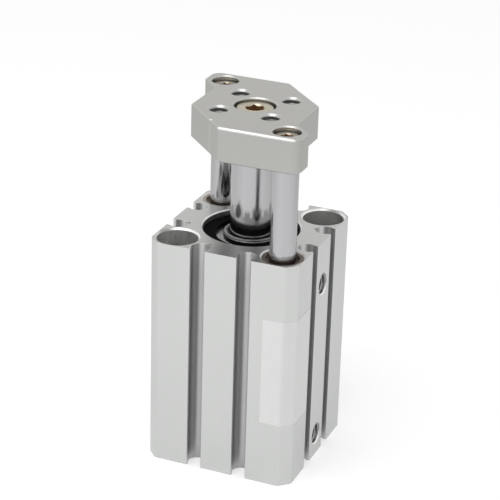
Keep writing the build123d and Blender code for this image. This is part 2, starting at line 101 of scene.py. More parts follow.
def maths(tree, operation, *values):
    """One Math node on sockets or numbers."""
    return node(tree, "ShaderNodeMath", dict(enumerate(values)), operation=operation).outputs[0]


def vector_maths(tree, operation, output, *values):
    """One Vector Math node on sockets or vectors."""
    return node(tree, "ShaderNodeVectorMath", dict(enumerate(values)), operation=operation).outputs[output]


def spread(tree, value, low, high, bottom=0.3, top=0.7):
    """Stretches a range of values, by default the useful middle of a noise, to another one."""
    inputs = {"Value": value, "From Min": bottom, "From Max": top, "To Min": low, "To Max": high}
    return node(tree, "ShaderNodeMapRange", inputs).outputs[0]


def ramp(tree, value, start, end, low, high):
    """A straight ramp from low to high as a length runs from start to end, in millimetres."""
    return spread(tree, value, low, high, start * mm, end * mm)


def object_point(tree):
    """The point of the surface, in the frame that all pieces share."""
    return node(tree, "ShaderNodeTexCoord").outputs["Object"]


def axis_distance(tree, center):
    """How far a point lies from an upright axis whose place is given in millimetres."""
    flat = vector_maths(tree, "MULTIPLY", "Vector", object_point(tree), (1, 1, 0))
    return vector_maths(tree, "DISTANCE", "Value", flat, Vector((*center, 0)) * mm)


def white_for_views(tree):
    """1 for camera, mirror and glass rays and 0 for the rays that light a matt surface."""
    path = node(tree, "ShaderNodeLightPath")
    seen = maths(tree, "MAXIMUM", path.outputs["Is Camera Ray"], path.outputs["Is Glossy Ray"])
    return maths(tree, "MAXIMUM", seen, path.outputs["Is Transmission Ray"])


world = bpy.data.worlds.new("white_surround")
world.use_nodes = True
bpy.context.scene.world = world
surround = world.node_tree
background = surround.nodes["Background"]
strength = spread(surround, white_for_views(surround), surround_fill, 1, 0, 1)
surround.links.new(strength, background.inputs["Strength"])
background.inputs["Color"].default_value = white

floor_mesh = bpy.data.meshes.new("studio_floor")
floor_corners = [(-floor_half, -floor_half, 0), (floor_half, -floor_half, 0),
                 (floor_half, floor_half, 0), (-floor_half, floor_half, 0)]
floor_mesh.from_pydata(floor_corners, [], [(0, 1, 2, 3)])
floor = bpy.data.objects.new("studio_floor", floor_mesh)
bpy.context.scene.collection.objects.link(floor)
floor_material = bpy.data.materials.new("white_floor")
floor_material.use_nodes = True
tree = floor_material.node_tree
shader = tree.nodes["Principled BSDF"]
shader.inputs["Base Color"].default_value = floor_color
shader.inputs["Roughness"].default_value = floor_roughness
shader.inputs["Specular IOR Level"].default_value = 0.0
shader.inputs["Emission Color"].default_value = white
fall = ramp(tree, axis_distance(tree, bright_spot), bright_spot_reach, darkest_reach, 0, mirrored_fall)
foot = ramp(tree, axis_distance(tree, (0, 0)), foot_reach, foot_end, mirrored_foot, 0)
mirrored = node(tree, "ShaderNodeLightPath").outputs["Is Glossy Ray"]
darker = maths(tree, "MULTIPLY", maths(tree, "ADD", fall, foot), mirrored)
lift = maths(tree, "MULTIPLY", white_for_views(tree), floor_lift)
tree.links.new(maths(tree, "SUBTRACT", lift, darker), shader.inputs["Emission Strength"])
floor_mesh.materials.append(floor_material)

for name, box in soft_boxes.items():
    lamp = bpy.data.lights.new(name, "AREA")
    lamp.shape = "SQUARE"
    lamp.size = box["size"] * mm
    lamp.energy = box["power"]
    lamp_object = bpy.data.objects.new(name, lamp)
    lamp_object.location = Vector(box["place"]) * mm
    aim = lit_point - lamp_object.location
    lamp_object.rotation_euler = aim.to_track_quat("-Z", "Y").to_euler()
    bpy.context.scene.collection.objects.link(lamp_object)

# The body is one length of aluminium extrusion, cut and faced at both ends, bored, and then
# clear anodised. Its sides keep the fine lines of the die, its ends the arcs of the cutter.
# The grooves take painted shade, the counterbore walls painted light, the hole chamfers a painted
# highlight, and the end face in front of the rod painted shade.
body_half = 18.0
body_top = 55.0
hole_place = 12.75
guide_axes = [(hole_place, -hole_place), (-hole_place, hole_place)]
mounting_axes = [(-hole_place, -hole_place), (hole_place, hole_place)]
counterbore_wall = (4.85, 4.95)
guide_mouth = (5.1, 5.2)
groove_pair = (3.2, 8.0)
groove_floor = body_half - 2.4
groove_mouth = body_half - 0.1
lit_groove_length = 6.0
lit_groove_share = 0.45
cutter_center = (-70, -30)
front_end_shade_place = (5.5, -16.5)
front_end_shade_reach = (6.0, 10.0)
body_color = (0.655, 0.665, 0.655)
end_face_color = (0.485, 0.485, 0.475)
groove_shade_color = (0.49, 0.495, 0.49)
counterbore_light_color = (0.76, 0.765, 0.755)
chamfer_highlight_color = (0.88, 0.88, 0.87)
body_edge_color = (0.86, 0.86, 0.85)
sides_dull = (0.32, 0.42)
ends_dull = (0.28, 0.35)


def metal(name, color, roughness, metallic=1.0):
    """A new material; returns it with its node tree and its shader."""
    material = bpy.data.materials.new(name)
    material.use_nodes = True
    shader = material.node_tree.nodes["Principled BSDF"]
    shader.inputs["Base Color"].default_value = (*color, 1)
    shader.inputs["Roughness"].default_value = roughness
    shader.inputs["Metallic"].default_value = metallic
    return material, material.node_tree, shader


def noise(tree, per_mm, detail=3.0, rough=0.55):
    """Noise with its own number of grains per millimetre along X, Y and Z."""
    grains = [value / mm for value in per_mm]
    point = vector_maths(tree, "MULTIPLY", "Vector", object_point(tree), grains)
    inputs = {"Vector": point, "Scale": 1.0, "Detail": detail, "Roughness": rough}
    return node(tree, "ShaderNodeTexNoise", inputs).outputs["Fac"]


def ring_lines(tree, center, per_mm, detail=2.0):
    """Noise that depends only on the distance from an upright axis: the lines of turning."""
    reach = maths(tree, "MULTIPLY", axis_distance(tree, center), per_mm / mm)
    inputs = {"W": reach, "Scale": 1.0, "Detail": detail}
    return node(tree, "ShaderNodeTexNoise", inputs, noise_dimensions="1D").outputs["Fac"]


def shade(color, factor):
    """A colour made darker or lighter."""
    return tuple(min(value * factor, 1.0) for value in color)


def faded(tree, mask, share):
    """A mask at part of its strength."""
    return maths(tree, "MULTIPLY", mask, share)


def blended(tree, amount, first, second):
    """Mixes two colours, each a socket or three numbers."""
    mixer = node(tree, "ShaderNodeMix", {"Factor": amount}, data_type="RGBA")
    for name, color in (("A", first), ("B", second)):
        socket = next(s for s in mixer.inputs if s.name == name and s.type == "RGBA")
        if isinstance(color, bpy.types.NodeSocket):
            tree.links.new(color, socket)
        else:
            socket.default_value = (*color, 1)
    return next(s for s in mixer.outputs if s.type == "RGBA")


def mottled(tree, pattern, color, low, high=1.0):
    """A colour that a noise takes from a darker to a lighter shade of itself."""
    return blended(tree, spread(tree, pattern, 0, 1), shade(color, low), shade(color, high))


def upright_share(tree):
    """How squarely a face looks up or down, from 0 on sides to 1 on level faces."""
    normal = node(tree, "ShaderNodeTexCoord").outputs["Normal"]
    return maths(tree, "ABSOLUTE", node(tree, "ShaderNodeSeparateXYZ", {0: normal}).outputs["Z"])


def facing_up_or_down(tree):
    """1 on the faces square to the cylinder's axis, 0 on its sides."""
    return spread(tree, upright_share(tree), 0, 1, 0.85, 0.95)


def on_slopes(tree):
    """1 on chamfers round upright holes, 0 on level and upright faces."""
    share = upright_share(tree)
    off_sides = spread(tree, share, 0, 1, 0.4, 0.55)
    off_level = spread(tree, share, 1, 0, 0.85, 0.95)
    return maths(tree, "MULTIPLY", off_sides, off_level)


def near_axes(tree, centers, start, end):
    """1 within start of any upright axis, 0 beyond end. With start over end it is the reverse."""
    total = 0.0
    for center in centers:
        share = ramp(tree, axis_distance(tree, center), start, end, 1, 0)
        total = maths(tree, "MAXIMUM", total, share)
    return total


def groove_shade_mask(tree):
    """The painted shade in the switch grooves: how deep a point lies in them, 0 to 1, less near their lit
    top.
    """
    parts = node(tree, "ShaderNodeSeparateXYZ", {0: object_point(tree)}).outputs
    across = [maths(tree, "ABSOLUTE", parts[axis]) for axis in ("X", "Y")]
    along = maths(tree, "MINIMUM", *across)
    deep = ramp(tree, maths(tree, "MAXIMUM", *across), groove_floor, groove_mouth, 1, 0)
    past_near_edge = maths(tree, "GREATER_THAN", along, groove_pair[0] * mm)
    before_far_edge = maths(tree, "LESS_THAN", along, groove_pair[1] * mm)
    within = maths(tree, "MULTIPLY", past_near_edge, before_far_edge)
    below = ramp(tree, parts["Z"], body_top - lit_groove_length, body_top, 1, lit_groove_share)
    return maths(tree, "MULTIPLY", maths(tree, "MULTIPLY", deep, within), below)


def soft_edges(tree, radius):
    """The normal of edges broken by a small radius, and how much it leans there."""
    round_normal = node(tree, "ShaderNodeBevel", {"Radius": radius * mm}, samples=4).outputs[0]
    flat_normal = node(tree, "ShaderNodeNewGeometry").outputs["Normal"]
    likeness = vector_maths(tree, "DOT_PRODUCT", "Value", round_normal, flat_normal)
    return round_normal, spread(tree, likeness, 1, 0, 0.75, 0.99)


def worn_edges(tree, color, radius, share, edge_color):
    """Breaks the edges and lets them take some of another colour; returns colour and normal."""
    round_normal, leaning = soft_edges(tree, radius)
    return blended(tree, faded(tree, leaning, share), color, edge_color), round_normal


def relief(tree, height, depth, normal=None):
    """A pattern as fine relief, its depth in millimetres, on top of another normal."""
    inputs = {"Height": height, "Distance": depth * mm, "Strength": 1.0}
    if normal is not None:
        inputs["Normal"] = normal
    return node(tree, "ShaderNodeBump", inputs).outputs[0]


def connect(tree, shader, color, roughness, normal):
    """Joins the three results that every finish here ends in to its shader."""
    tree.links.new(color, shader.inputs["Base Color"])
    tree.links.new(roughness, shader.inputs["Roughness"])
    tree.links.new(normal, shader.inputs["Normal"])


def dress(material, *names):
    """Gives CAD nodes their material."""
    for name in names:
        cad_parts[name].data.materials.clear()
        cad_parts[name].data.materials.append(material)


anodised, tree, shader = metal("anodised_extrusion", body_color, 0.36)
die_lines = noise(tree, (2.2, 2.2, 0.012), detail=4.0)
cloud = noise(tree, (0.09, 0.09, 0.05), detail=2.0)
side_color = mottled(tree, die_lines, body_color, 0.965)
side_color = blended(tree, spread(tree, cloud, 0, 0.5), side_color, shade(body_color, 0.95))
# Painted shade: the grooves darken with depth, less near their top.
side_color = blended(tree, groove_shade_mask(tree), side_color, groove_shade_color)
# Painted light: the counterbore walls are lighter than the open faces.
counterbore_light_mask = near_axes(tree, mounting_axes, *counterbore_wall)
side_color = blended(tree, counterbore_light_mask, side_color, counterbore_light_color)
cutter_arcs = ring_lines(tree, cutter_center, 6.0, detail=4.0)
end_color = mottled(tree, cutter_arcs, end_face_color, 0.93)
# Painted shade on the end face in front of the rod, where the rod and plate are mirrored.
front_end_shade = faded(tree, near_axes(tree, [front_end_shade_place], *front_end_shade_reach), 0.9)
end_color = blended(tree, front_end_shade, end_color, shade(end_face_color, 0.64))
ends = facing_up_or_down(tree)
color = blended(tree, ends, side_color, end_color)
# Painted highlight on the chamfers round the holes, weaker at the guide mouths.
at_guides = faded(tree, near_axes(tree, guide_axes, *guide_mouth), 0.75)
chamfer_highlights = faded(tree, on_slopes(tree), maths(tree, "SUBTRACT", 0.7, at_guides))
color = blended(tree, maths(tree, "MAXIMUM", chamfer_highlights, 0), color, chamfer_highlight_color)
color, edge_normal = worn_edges(tree, color, 0.12, 0.4, body_edge_color)
surface = blended(tree, ends, die_lines, cutter_arcs)
dull = blended(tree, ends, spread(tree, surface, *sides_dull), spread(tree, surface, *ends_dull))
connect(tree, shader, color, dull, relief(tree, surface, 0.002, edge_normal))
dress(anodised, "cylinder_tube")

# The two air ports are tapped M5 in the narrow strip between the grooves of one face. The
# thread is a helical ridge on the wall of each hole, cut by a tap with a blunt crest.
port_thread_radius = 2.5
port_pitch = 0.8
port_thread_turns = 5.8
port_thread_start = 12.9
port_heights = (5.5, 44.3)
steps_per_turn = 40
ridge_root = -0.02
ridge_crest = 0.5
ridge_root_half = 0.44
ridge_crest_half = 0.1
port_dark_color = (0.30, 0.30, 0.30)
port_color = (0.44, 0.45, 0.44)


def open_tree(name, kinds):
    """A new Geometry Nodes tree; returns it with the keys and the sockets of its inputs."""
    group = bpy.data.node_groups.new(name, "GeometryNodeTree")
    keys = {
        label: group.interface.new_socket(label, in_out="INPUT", socket_type=kind).identifier
        for label, kind in kinds.items()
    }
    group.interface.new_socket("Pieces", in_out="OUTPUT", socket_type="NodeSocketGeometry")
    return group, keys, node(group, "NodeGroupInput").outputs


def close_tree(group, instances, finish):
    """Ends a tree in real geometry with its material."""
    real = node(group, "GeometryNodeRealizeInstances", {"Geometry": instances}).outputs[0]
    done = node(group, "GeometryNodeSetMaterial", {"Geometry": real, "Material": finish}).outputs[0]
    group.links.new(done, node(group, "NodeGroupOutput").inputs[0])


def thread_tree():
    """Geometry Nodes that put a helical ridge inside a bore at every point."""
    group, keys, given = open_tree("thread_ridge", {
        "Points": "NodeSocketGeometry",
        "Bore Radius": "NodeSocketFloat",
        "Pitch": "NodeSocketFloat",
        "Turns": "NodeSocketFloat",
        "Direction": "NodeSocketRotation",
        "Finish": "NodeSocketMaterial",
    })
    helix = node(group, "GeometryNodeCurveSpiral", {
        "Resolution": steps_per_turn,
        "Rotations": given["Turns"],
        "Start Radius": given["Bore Radius"],
        "End Radius": given["Bore Radius"],
        "Height": maths(group, "MULTIPLY", given["Pitch"], given["Turns"]),
    }).outputs[0]
    helix = node(group, "GeometryNodeSetCurveNormal", {"Curve": helix}, mode="Z_UP").outputs[0]
    shares = (
        (ridge_root, ridge_root_half),
        (ridge_root, -ridge_root_half),
        (ridge_crest, -ridge_crest_half),
        (ridge_crest, ridge_crest_half),
    )
    corners = {}
    for number, (inward, along) in enumerate(shares, 1):
        corners[f"Point {number}"] = node(group, "ShaderNodeCombineXYZ", {
            "X": maths(group, "MULTIPLY", given["Pitch"], inward),
            "Y": maths(group, "MULTIPLY", given["Pitch"], along),
        }).outputs[0]
    profile = node(group, "GeometryNodeCurvePrimitiveQuadrilateral", corners, mode="POINTS").outputs[0]
    ridge = node(group, "GeometryNodeCurveToMesh", {
        "Curve": helix,
        "Profile Curve": profile,
        "Fill Caps": True,
    }).outputs[0]
    placed = node(group, "GeometryNodeInstanceOnPoints", {
        "Points": given["Points"],
        "Instance": ridge,
        "Rotation": given["Direction"],
    }).outputs[0]
    close_tree(group, placed, given["Finish"])
    return group, keys


def grow(name, tree_and_keys, points, values):
    """Runs a Geometry Nodes tree on points given in millimetres and keeps a plain mesh."""
    group, keys = tree_and_keys
    seeds = bpy.data.meshes.new(name + "_points")
    seeds.from_pydata([Vector(point) * mm for point in points], [], [])
    piece = bpy.data.objects.new(name, seeds)
    bpy.context.scene.collection.objects.link(piece)
    modifier = piece.modifiers.new("grow", "NODES")
    modifier.node_group = group
    for label, value in values.items():
        modifier[keys[label]] = value
    evaluated = piece.evaluated_get(bpy.context.evaluated_depsgraph_get())
    grown = bpy.data.meshes.new_from_object(evaluated)
    piece.modifiers.remove(modifier)
    piece.data = grown
    return piece


port_finish, tree, shader = metal("tapped_port", port_color, 0.3)
tap_marks = noise(tree, (0.6, 5.0, 5.0), detail=3.0)
color = blended(tree, spread(tree, tap_marks, 0, 1), port_dark_color, port_color)
connect(tree, shader, color, spread(tree, tap_marks, 0.25, 0.4), relief(tree, tap_marks, 0.004))
threads = thread_tree()
port_threads = grow("port_threads", threads, [(port_thread_start, 0, z) for z in port_heights], {
    "Bore Radius": port_thread_radius * mm,
    "Pitch": port_pitch * mm,
    "Turns": port_thread_turns,
    "Direction": (0, math.radians(90), 0),
    "Finish": port_finish,
})
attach(port_threads, "cylinder")

# The head plate is a turned aluminium disc pressed into the bottom of the bore. The
# piston is turned from the same bar, with grooves for its seal, magnet and wear ring.
turned_color = (0.62, 0.62, 0.61)
turned_lines_per_mm = 7.0


def turned(name, color, lines_per_mm):
    """Bright turned metal: rings on its end faces, fine threads of feed round its sides."""
    material, tree, shader = metal(name, color, 0.3)
    faces = ring_lines(tree, (0, 0), lines_per_mm)
    sides = noise(tree, (0.02, 0.02, lines_per_mm), detail=2.0)
    lines = blended(tree, facing_up_or_down(tree), sides, faces)
    tint = mottled(tree, lines, color, 0.88)
    tint, edge_normal = worn_edges(tree, tint, 0.08, 0.5, shade(color, 1.2))
    connect(tree, shader, tint, spread(tree, lines, 0.24, 0.36), relief(tree, lines, 0.006, edge_normal))
    return material


dress(turned("turned_aluminium", turned_color, turned_lines_per_mm), "head_plate", "piston")

# The guide bushings are sintered bronze tubes, soaked in oil, so they are brown and full
# of fine pores. Two are pressed one above the other into each guide bore. Painted light
# makes the step inside them paler, and the rear pair too. They are darker close round the rods.
bronze_color = (0.14, 0.108, 0.09)
bronze_step_light_color = (0.36, 0.305, 0.275)
rear_bronze_light_color = (0.56, 0.53, 0.48)
bronze_edge_color = (0.36, 0.27, 0.21)
oil_color = (0.02, 0.013, 0.01)
bronze_step = (3.95, 4.0)
bushing_reach = (5.5, 6.0)
rod_ring_reach = (3.25, 3.35)
pores_per_mm = 3.2
bronze, tree, shader = metal("sintered_bronze", bronze_color, 0.42, metallic=0.85)
grains = noise(tree, (7.0, 7.0, 7.0), detail=5.0, rough=0.7)
pore_inputs = {"Vector": object_point(tree), "Scale": pores_per_mm / mm}
pores = node(tree, "ShaderNodeTexVoronoi", pore_inputs).outputs["Distance"]
pits = spread(tree, pores, 0, 1, 0.08, 0.3)
color = mottled(tree, grains, bronze_color, 0.6, 1.35)
# Painted light: the step inside the bushings and the rear pair are paler.
color = blended(tree, near_axes(tree, guide_axes, *bronze_step), color, bronze_step_light_color)
rear_light = faded(tree, near_axes(tree, guide_axes[1:], *bushing_reach), 0.5)
color = blended(tree, rear_light, color, rear_bronze_light_color)
# Darker close round the rods.
color = blended(tree, near_axes(tree, guide_axes, *rod_ring_reach), color, oil_color)
color = blended(tree, pits, oil_color, color)
color, edge_normal = worn_edges(tree, color, 0.12, 0.4, bronze_edge_color)
connect(tree, shader, color, spread(tree, grains, 0.34, 0.55), relief(tree, pits, 0.02, edge_normal))
dress(bronze, "front_guide_bushing_lower", "front_guide_bushing_upper",
      "rear_guide_bushing_lower", "rear_guide_bushing_upper")

# Soft pieces on the piston and in the rod cover: the seals are black nitrile rubber, the
# bumpers amber polyurethane, the magnet bonded ferrite, and the wear ring a filled resin.


def moulded(name, color, fleck, roughness, grain_per_mm):
    """A moulded or pressed non-metal with a fine grain and a few paler specks."""
    material, tree, shader = metal(name, color, roughness, metallic=0.0)
    grain = noise(tree, (grain_per_mm, grain_per_mm, grain_per_mm), detail=5.0, rough=0.65)
    cloud = noise(tree, (0.25, 0.25, 0.25), detail=2.0)
    tint = blended(tree, spread(tree, cloud, 0, 0.6), color, shade(color, 0.7))
    tint = blended(tree, spread(tree, grain, 0, 1, 0.6, 0.8), tint, fleck)
    tint, edge_normal = worn_edges(tree, tint, 0.1, 0.3, fleck)
    worn = spread(tree, grain, roughness - 0.07, roughness + 0.1)
    connect(tree, shader, tint, worn, relief(tree, grain, 0.008, edge_normal))
    return material


rubber = moulded("nitrile_rubber", (0.016, 0.016, 0.017), (0.05, 0.05, 0.052), 0.45, 4.0)
polyurethane = moulded("amber_polyurethane", (0.30, 0.17, 0.05), (0.40, 0.26, 0.10), 0.35, 2.0)
ferrite = moulded("bonded_ferrite", (0.045, 0.045, 0.05), (0.12, 0.12, 0.13), 0.6, 6.0)
resin = moulded("filled_resin", (0.20, 0.10, 0.05), (0.34, 0.20, 0.11), 0.5, 5.0)
dress(rubber, "piston_seal", "rod_seal", "rod_cover_gasket")
dress(polyurethane, "rod_side_bumper", "head_side_bumper")
dress(ferrite, "magnet")
dress(resin, "wear_ring")

# The three rods are hard chromed steel, ground between centres and then polished. The
# wheel leaves fine rings, which stretch highlights, and the guides draw faint scratches.
chrome_color = (0.50, 0.50, 0.51)
chrome_stretch = 0.75
chrome, tree, shader = metal("ground_chrome", chrome_color, 0.09)
wheel_rings = noise(tree, (0.01, 0.01, 9.0), detail=3.0)
drawn = noise(tree, (3.0, 3.0, 0.03), detail=3.0)
haze = noise(tree, (0.12, 0.12, 0.06), detail=2.0)
# Painted reflections: broad upright bands, a little darker, like streaks mirrored in the rod.
painted_reflection_bands = noise(tree, (0.55, 0.55, 0.008), detail=2.0)
color = mottled(tree, wheel_rings, chrome_color, 0.95, 1.02)
color = blended(tree, spread(tree, haze, 0, 0.5), color, shade(chrome_color, 0.93))
color = blended(tree, spread(tree, painted_reflection_bands, 0, 0.9), color, shade(chrome_color, 0.90))
polish = blended(tree, 0.5, wheel_rings, drawn)
edge_normal = soft_edges(tree, 0.1)[0]
shader.inputs["Anisotropic"].default_value = chrome_stretch
round_the_rod = node(tree, "ShaderNodeTangent", direction_type="RADIAL", axis="Z").outputs[0]
tree.links.new(round_the_rod, shader.inputs["Tangent"])
connect(tree, shader, color, spread(tree, polish, 0.12, 0.18), relief(tree, polish, 0.0012, edge_normal))
dress(chrome, "piston_rod", "front_guide_rod", "rear_guide_rod")

# The rod cover is turned aluminium with a raised neck round the rod. Its sides and throat
# are darkened with painted shade, and a painted highlight lies on the outer edge of the neck's flat end.
cover_face_color = (0.57, 0.57, 0.56)
cover_side_shade_color = (0.035, 0.035, 0.036)
cover_line_color = (0.12, 0.12, 0.12)
throat_shade_color = (0.09, 0.09, 0.09)
neck_highlight_color = (0.95, 0.95, 0.94)
throat_shade_reach = (5.6, 6.25)
neck_highlight_from = (6.2, 6.0)
turned_cover, tree, shader = metal("turned_cover", cover_face_color, 0.3)
turning = ring_lines(tree, (0, 0), 5.0)
# Painted shade on the sides.
color = blended(tree, facing_up_or_down(tree), cover_side_shade_color, cover_face_color)
color = blended(tree, spread(tree, turning, 0.2, 0), color, cover_line_color)
# Painted shade in the throat.
color = blended(tree, near_axes(tree, [(0, 0)], *throat_shade_reach), color, throat_shade_color)
# Painted highlight, less metallic, on the outer edge of the neck's flat end.
edge_normal, leaning = soft_edges(tree, 0.45)
neck_highlight = maths(tree, "MULTIPLY", leaning, near_axes(tree, [(0, 0)], *neck_highlight_from))
color = blended(tree, neck_highlight, color, neck_highlight_color)
metallic_outside_highlight = maths(tree, "SUBTRACT", 1.0, faded(tree, neck_highlight, 0.8))
tree.links.new(metallic_outside_highlight, shader.inputs["Metallic"])
connect(tree, shader, color, spread(tree, turning, 0.24, 0.36), relief(tree, turning, 0.005, edge_normal))
dress(turned_cover, "rod_cover")

# The retaining ring is stamped from spring steel and phosphated to a dull black. Sprung
# into its groove in the bore, it holds the rod cover.
spring_black = (0.004, 0.004, 0.0043)
spring_edge_color = (0.05, 0.05, 0.05)
phosphate_ior = 1.06
phosphated, tree, shader = metal("phosphated_spring_steel", spring_black, 0.5, metallic=0.0)
shader.inputs["IOR"].default_value = phosphate_ior
stamped = noise(tree, (5.0, 5.0, 5.0), detail=4.0)
color = mottled(tree, stamped, spring_black, 0.7, 1.6)
color, edge_normal = worn_edges(tree, color, 0.1, 0.25, spring_edge_color)
connect(tree, shader, color, spread(tree, stamped, 0.45, 0.6), relief(tree, stamped, 0.006, edge_normal))
dress(phosphated, "retaining_ring")

# The end plate is machined from aluminium bar and anodised in a warmer grey than the body.
# It carries four tapped M4 holes round the centre screw, with painted shade on their walls.
# The top edges of its two wings are broken wider than the others and carry a painted highlight.
plate_color = (0.49, 0.49, 0.47)
plate_face_color = (0.415, 0.41, 0.39)
plate_edge_color = (0.72, 0.71, 0.69)
plate_hole_shade_color = (0.40, 0.40, 0.39)
wing_highlight_color = (0.80, 0.795, 0.78)
tapped_plate_color = (0.24, 0.24, 0.235)
plate_bottom = 76.5
wing_highlight_sides = (16.8, 17.0)
wing_highlight_heights = (83.85, 84.1)
wing_highlight_share = 0.85
plate_hole_place = 6.187
plate_hole_shade_reach = (2.17, 2.25)
plate_thread_radius = 2.0
plate_pitch = 0.7
plate_thread_turns = 9.1
plate_thread_start = 0.5
plate_hole_axes = [(x, y) for x in (-plate_hole_place, plate_hole_place)
                   for y in (-plate_hole_place, plate_hole_place)]

plate_finish, tree, shader = metal("anodised_plate", plate_color, 0.34)
milled = noise(tree, (0.02, 3.0, 3.0), detail=4.0)
feed = noise(tree, (0.5, 0.5, 4.0), detail=3.0)
cloud = noise(tree, (0.1, 0.1, 0.1), detail=2.0)
faces = facing_up_or_down(tree)
surface = blended(tree, faces, feed, milled)
base = blended(tree, faces, plate_color, plate_face_color)
darker = blended(tree, faces, shade(plate_color, 0.95), shade(plate_face_color, 0.95))
color = blended(tree, spread(tree, surface, 0, 1), darker, base)
color = blended(tree, spread(tree, cloud, 0, 0.5), color, darker)
color, edge_normal = worn_edges(tree, color, 0.15, 0.35, plate_edge_color)
# Painted shade inside the tapped holes.
color = blended(tree, near_axes(tree, plate_hole_axes, *plate_hole_shade_reach), color, plate_hole_shade_color)
# Painted highlight along the top edges of the wings.
parts = node(tree, "ShaderNodeSeparateXYZ", {0: object_point(tree)}).outputs
at_wing_side = ramp(tree, maths(tree, "ABSOLUTE", parts["Y"]), *wing_highlight_sides, 0, 1)
at_wing_top = ramp(tree, parts["Z"], *wing_highlight_heights, 0, wing_highlight_share)
wing_highlight = maths(tree, "MULTIPLY", at_wing_side, at_wing_top)
color = blended(tree, wing_highlight, color, wing_highlight_color)
edge_normal = blended(tree, wing_highlight, edge_normal, soft_edges(tree, 0.5)[0])
connect(tree, shader, color, spread(tree, surface, 0.3, 0.4), relief(tree, surface, 0.003, edge_normal))
dress(plate_finish, "end_plate")

plate_thread_points = [(x, y, plate_bottom + plate_thread_start) for x, y in plate_hole_axes]
plate_threads = grow("plate_threads", threads, plate_thread_points, {
    "Bore Radius": plate_thread_radius * mm,
    "Pitch": plate_pitch * mm,
    "Turns": plate_thread_turns,
    "Direction": (0, 0, 0),
    "Finish": turned("tapped_plate", tapped_plate_color, 5.0),
})
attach(plate_threads, "rod_assembly")

# Nickel plated socket head screws: one M5 through the plate into the piston rod, and an
# M3 over each guide rod. The heads are forged, with a pressed hexagon and a knurled side.
# The sockets are brown with thread oil, and the two small heads are darker.
nickel_color = (0.49, 0.445, 0.35)
small_head_dark_color = (0.33, 0.28, 0.235)
nickel_edge_color = (0.72, 0.69, 0.60)
socket_color = (0.46, 0.32, 0.18)
small_head_reach = (3.2, 3.4)
head_sides = 96
hexagon_side = math.radians(60)
socket_bevel = 0.12
socket_floor_share = 0.9
socket_point_share = 0.45
head_shoulder_share = 0.3
seat_bevel = 0.15
tip_bevel = 0.4
sharp_angle = math.radians(25)
knurl_width = 0.24
knurl_gap = 0.3
screws = {
    "centre_screw": {
        "places": [(0, 0)],
        "floor": 78.9,
        "head_radius": 4.25,
        "head_height": 5.0,
        "across_flats": 4.0,
        "socket_depth": 2.5,
        "shank_radius": 2.5,
        "shank_length": 12.0,
        "edge": 0.4,
        "ridges": 48,
    },
    "guide_rod_screws": {
        "places": guide_axes,
        "floor": 80.5,
        "head_radius": 2.75,
        "head_height": 3.0,
        "across_flats": 2.5,
        "socket_depth": 1.4,
        "shank_radius": 1.5,
        "shank_length": 9.0,
        "edge": 0.3,
        "ridges": 36,
    },
}

nickel, tree, shader = metal("nickel_plate", nickel_color, 0.3)
plating = noise(tree, (1.2, 1.2, 1.2), detail=4.0)
forged = noise(tree, (4.0, 4.0, 4.0), detail=4.0)
color = mottled(tree, plating, nickel_color, 0.85, 1.06)
small_heads = faded(tree, near_axes(tree, guide_axes, *small_head_reach), 0.8)
color = blended(tree, small_heads, color, small_head_dark_color)
color, edge_normal = worn_edges(tree, color, 0.08, 0.5, nickel_edge_color)
connect(tree, shader, color, spread(tree, forged, 0.25, 0.4), relief(tree, forged, 0.004, edge_normal))

socket_finish, tree, shader = metal("oiled_socket", socket_color, 0.35)
pressed_marks = noise(tree, (2.5, 2.5, 6.0), detail=3.0)
color = mottled(tree, pressed_marks, socket_color, 0.6, 1.2)
connect(tree, shader, color, spread(tree, pressed_marks, 0.28, 0.45), relief(tree, pressed_marks, 0.006))


def knurl_tree():
    """Geometry Nodes that stand a ring of small upright ridges round every point."""
    group, keys, given = open_tree("head_knurl", {
        "Points": "NodeSocketGeometry",
        "Head Radius": "NodeSocketFloat",
        "Ridges": "NodeSocketInt",
        "Ridge Width": "NodeSocketFloat",
        "Ridge Length": "NodeSocketFloat",
        "Finish": "NodeSocketMaterial",
    })
    ring = node(group, "GeometryNodeMeshCircle", {
        "Vertices": given["Ridges"],
        "Radius": given["Head Radius"],
    }).outputs[0]
    ridge = node(group, "GeometryNodeMeshCylinder", {
        "Vertices": 4,
        "Radius": maths(group, "MULTIPLY", given["Ridge Width"], 0.5),
        "Depth": given["Ridge Length"],
    }).outputs[0]
    share = maths(group, "DIVIDE", node(group, "GeometryNodeInputIndex").outputs[0], given["Ridges"])
    turn = node(group, "ShaderNodeCombineXYZ", {"Z": maths(group, "MULTIPLY", share, math.tau)}).outputs[0]
    knurl = node(group, "GeometryNodeInstanceOnPoints", {
        "Points": ring,
        "Instance": ridge,
        "Rotation": turn,
    }).outputs[0]
    placed = node(group, "GeometryNodeInstanceOnPoints", {
        "Points": given["Points"],
        "Instance": knurl,
    }).outputs[0]
    close_tree(group, placed, given["Finish"])
    return group, keys


def level_ring(radius, height):
    """One round of points, each a radius and a height."""
    return [(radius, height)] * head_sides


def screw_rings(size):
    """Rounds of points from a screw's socket out and down to its tip, and the two ends' heights."""
    seat = size["floor"]
    top = seat + size["head_height"]
    tip = seat - size["shank_length"]
    socket_floor = top - size["socket_depth"]
    flat = size["across_flats"] / 2
    mouth = flat / math.cos(hexagon_side / 2) + socket_bevel
    head = size["head_radius"]
    shank = size["shank_radius"]
    edge = size["edge"]
    shoulder = edge * head_shoulder_share
    hexagon = [
        flat / math.cos((math.tau * step / head_sides) % hexagon_side - hexagon_side / 2)
        for step in range(head_sides)
    ]
    rings = [
        level_ring(flat * socket_floor_share, socket_floor),
        [(radius, socket_floor) for radius in hexagon],
        [(radius, top - (mouth - radius)) for radius in hexagon],
        level_ring(mouth, top),
        level_ring(head - edge, top),
        level_ring(head - shoulder, top - shoulder),
        level_ring(head, top - edge),
        level_ring(head, seat + seat_bevel),
        level_ring(head - seat_bevel, seat),
        level_ring(shank, seat),
        level_ring(shank, tip + tip_bevel),
        level_ring(shank - tip_bevel, tip),
    ]
    return rings, socket_floor - flat * socket_point_share, tip


